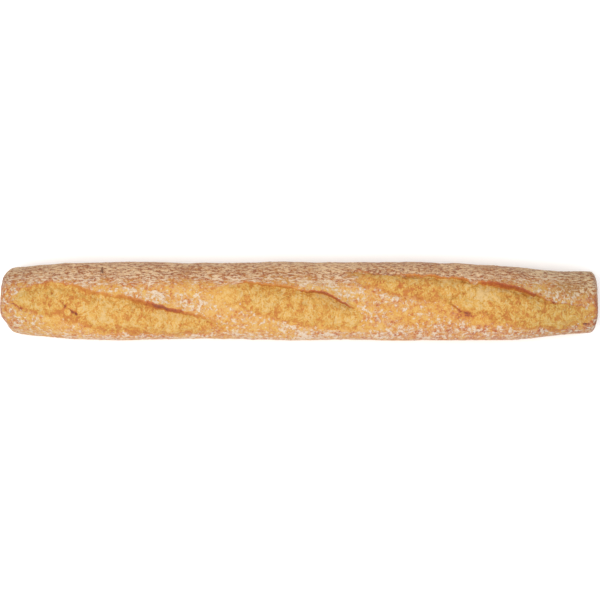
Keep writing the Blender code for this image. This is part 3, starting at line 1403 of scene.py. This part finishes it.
@dataclass
class LooseFlour:
    """Clumps of flour caught on the crust, scattered by Geometry Nodes."""

    crust: bpy.types.Object
    finish: FlourFinish
    per_square_metre: float = 60000.0
    smallest: float = 0.00022
    largest: float = 0.00085
    flatness: float = 0.45
    ragged: float = 0.45
    ragged_size: float = 0.0009
    skew: float = 3.0  # makes small clumps far more common than large ones
    seed: int = 7

    def tree(self) -> bpy.types.NodeTree:
        """Build the node tree that scatters the clumps.

        Returns:
            A tree with named inputs for the clumps' sizes and their number.
        """
        tree = bpy.data.node_groups.new("Loose flour", "GeometryNodeTree")
        face = tree.interface
        face.new_socket("Crust", in_out="INPUT", socket_type="NodeSocketGeometry")
        for name in ("Clumps per square metre", "Smallest", "Largest", "Flatness", "Raggedness"):
            face.new_socket(name, in_out="INPUT", socket_type="NodeSocketFloat")
        face.new_socket("Seed", in_out="INPUT", socket_type="NodeSocketInt")
        face.new_socket("Finish", in_out="INPUT", socket_type="NodeSocketMaterial")
        face.new_socket("Clumps", in_out="OUTPUT", socket_type="NodeSocketGeometry")
        nodes = Nodes(tree)
        given = nodes.node("NodeGroupInput").outputs
        points = self.scatter(nodes, given)
        scale = self.clump_scale(nodes, given)
        clump = nodes.node("GeometryNodeMeshIcoSphere", {"Radius": 1.0, "Subdivisions": 1})
        placed = nodes.node("GeometryNodeInstanceOnPoints", {
            "Points": points["Points"],
            "Rotation": points["Rotation"],
            "Instance": clump.outputs["Mesh"],
            "Scale": scale,
        })
        real = nodes.node("GeometryNodeRealizeInstances", {"Geometry": placed.outputs["Instances"]})
        ragged = nodes.node("GeometryNodeSetPosition", {
            "Geometry": real.outputs["Geometry"],
            "Offset": self.raggedness(nodes, given),
        })
        dressed = nodes.node("GeometryNodeSetMaterial", {
            "Geometry": ragged.outputs["Geometry"],
            "Material": given["Finish"],
        })
        nodes.node("NodeGroupOutput", {"Clumps": dressed.outputs["Geometry"]})
        return tree

    def scatter(self, nodes: Nodes, given: Outputs) -> Outputs:
        """Scatter points on the crust, denser where the flour clumps.

        Args:
            nodes: the tree's nodes.
            given: the tree's named inputs.

        Returns:
            The points and their rotations.
        """
        feeds = {"Name": Paint.CLUMP.value}
        caught = nodes.node("GeometryNodeInputNamedAttribute", feeds, data_type="FLOAT")
        feeds = {0: given["Clumps per square metre"], 1: caught.outputs["Attribute"]}
        density = nodes.node("ShaderNodeMath", feeds, operation="MULTIPLY")
        feeds = {"Mesh": given["Crust"], "Density": density.outputs[0], "Seed": given["Seed"]}
        scattered = nodes.node("GeometryNodeDistributePointsOnFaces", feeds, distribute_method="RANDOM")
        return scattered.outputs

    def clump_scale(self, nodes: Nodes, given: Outputs) -> Socket:
        """The size of each clump, flatter than it is wide, with small ones the most common.

        Args:
            nodes: the tree's nodes.
            given: the tree's named inputs.

        Returns:
            The scale along X, Y and Z.
        """
        chance = nodes.node("FunctionNodeRandomValue", {"Seed": given["Seed"]}, data_type="FLOAT")
        feeds = {0: chance.outputs["Value"], 1: self.skew}
        skewed = nodes.node("ShaderNodeMath", feeds, operation="POWER")
        feeds = {"Value": skewed.outputs[0], "To Min": given["Smallest"], "To Max": given["Largest"]}
        size = nodes.node("ShaderNodeMapRange", feeds).outputs["Result"]
        thin = nodes.node("ShaderNodeMath", {0: size, 1: given["Flatness"]}, operation="MULTIPLY")
        return nodes.node("ShaderNodeCombineXYZ", {"X": size, "Y": size, "Z": thin.outputs[0]}).outputs[0]

    def raggedness(self, nodes: Nodes, given: Outputs) -> Socket:
        """How far each of the clumps' corners is pushed out of place.

        Args:
            nodes: the tree's nodes.
            given: the tree's named inputs.

        Returns:
            The offset of each corner.
        """
        rough = nodes.node("ShaderNodeTexNoise", {"Scale": 1 / self.ragged_size})
        feeds = {0: rough.outputs["Color"], 1: (0.5, 0.5, 0.5)}
        centred = nodes.node("ShaderNodeVectorMath", feeds, operation="SUBTRACT")
        feeds = {0: given["Raggedness"], 1: given["Largest"]}
        amount = nodes.node("ShaderNodeMath", feeds, operation="MULTIPLY")
        feeds = {"Vector": centred.outputs["Vector"], "Scale": amount.outputs[0]}
        return nodes.node("ShaderNodeVectorMath", feeds, operation="SCALE").outputs["Vector"]

    def build(self) -> bpy.types.Object:
        """Scatter the clumps and turn them into a plain mesh.

        Returns:
            The flour's object, in the scene.
        """
        host = bpy.data.objects.new("flour_host", self.crust.data)
        bpy.context.scene.collection.objects.link(host)
        scatter = host.modifiers.new("Loose flour", "NODES")
        scatter.node_group = self.tree()
        values = {
            "Clumps per square metre": self.per_square_metre,
            "Smallest": self.smallest,
            "Largest": self.largest,
            "Flatness": self.flatness,
            "Raggedness": self.ragged,
            "Seed": self.seed,
            "Finish": self.finish.material(),
        }
        for socket in scatter.node_group.interface.items_tree:
            if socket.in_out == "INPUT" and socket.name in values:
                scatter[socket.identifier] = values[socket.name]
        graph = bpy.context.evaluated_depsgraph_get()
        mesh = bpy.data.meshes.new_from_object(host.evaluated_get(graph))
        bpy.data.objects.remove(host)
        mesh.name = "loose_flour"
        flour = bpy.data.objects.new("loose_flour", mesh)
        bpy.context.scene.collection.objects.link(flour)
        log.info("%s: %d faces", flour.name, len(mesh.polygons))
        return flour


@dataclass
class Studio:
    """A pale floor, soft light from over the near side, and the camera that looks down."""

    floor_size: float = 8.0
    floor_drop: float = 0.0002
    lens: float = 110.0
    sensor: float = 36.0
    elevation: float = math.radians(84)
    margin: float = 1.0118  # the frame's width, in loaf lengths
    aim: tuple[float, float] = (0.0014, 0.0009)
    key_place: tuple[float, float, float] = (-0.45, -0.45, 1.70)
    key_size: float = 1.6
    key_power: float = 24.0
    sky: float = 1.0

    def build(self, length: float, middle: float) -> None:
        """Set up the floor, the lights and the camera.

        Args:
            length: how long the loaf is.
            middle: the height of its widest outline.
        """
        self.lay_floor()
        self.light()
        self.place_camera(length, middle)

    def lay_floor(self) -> None:
        """Lay the floor just under the loaf."""
        half = self.floor_size / 2
        mesh = bpy.data.meshes.new("floor")
        corners = ((-half, -half), (half, -half), (half, half), (-half, half))
        mesh.from_pydata([(x, y, -self.floor_drop) for x, y in corners], [], [(0, 1, 2, 3)])
        mesh.materials.append(FloorFinish().material())
        floor = bpy.data.objects.new("floor", mesh)
        bpy.context.scene.collection.objects.link(floor)

    def light(self) -> None:
        """Hang one large soft lamp and light the rest from a plain sky."""
        lamp = bpy.data.lights.new("key", "AREA")
        lamp.shape = "DISK"
        lamp.size = self.key_size
        lamp.energy = self.key_power
        key = bpy.data.objects.new("key", lamp)
        key.location = self.key_place
        key.rotation_mode = "QUATERNION"
        key.rotation_quaternion = (-key.location).to_track_quat("-Z", "Y")
        bpy.context.scene.collection.objects.link(key)
        world = bpy.data.worlds.new("sky")
        world.use_nodes = True
        background = world.node_tree.nodes["Background"]
        background.inputs["Color"].default_value = (1, 1, 1, 1)
        background.inputs["Strength"].default_value = self.sky
        bpy.context.scene.world = world
        bpy.context.scene.view_settings.view_transform = "Standard"

    def place_camera(self, length: float, middle: float) -> None:
        """Look down on the loaf so that it fills the frame from end to end.

        Args:
            length: how long the loaf is.
            middle: the height of its widest outline.
        """
        lens = bpy.data.cameras.new("camera")
        lens.lens = self.lens
        lens.sensor_width = self.sensor
        distance = length * self.margin * self.lens / self.sensor
        back = Vector((0, -math.cos(self.elevation), math.sin(self.elevation)))
        camera = bpy.data.objects.new("camera", lens)
        camera.location = Vector((*self.aim, middle)) + back * distance
        camera.rotation_mode = "QUATERNION"
        camera.rotation_quaternion = (-back).to_track_quat("-Z", "Y")
        bpy.context.scene.collection.objects.link(camera)
        bpy.context.scene.camera = camera


def main() -> None:
    """Build the crust, its flour and the studio, and attach the pieces to the frame."""
    logging.basicConfig(level=logging.INFO, format="%(name)s: %(message)s")
    shape = LoafShape.from_frame("loaf", lip_rise=0.0029)
    Studio().build(shape.length, shape.belly)
    crust = Crust(shape, SLASHES, MARKS, THICK_FLOUR, CrustFinish()).build()
    flour = LooseFlour(crust, FlourFinish()).build()
    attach(crust, "root")
    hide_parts("loaf")
    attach(flour, "root")


if __name__ == "__main__":
    main()
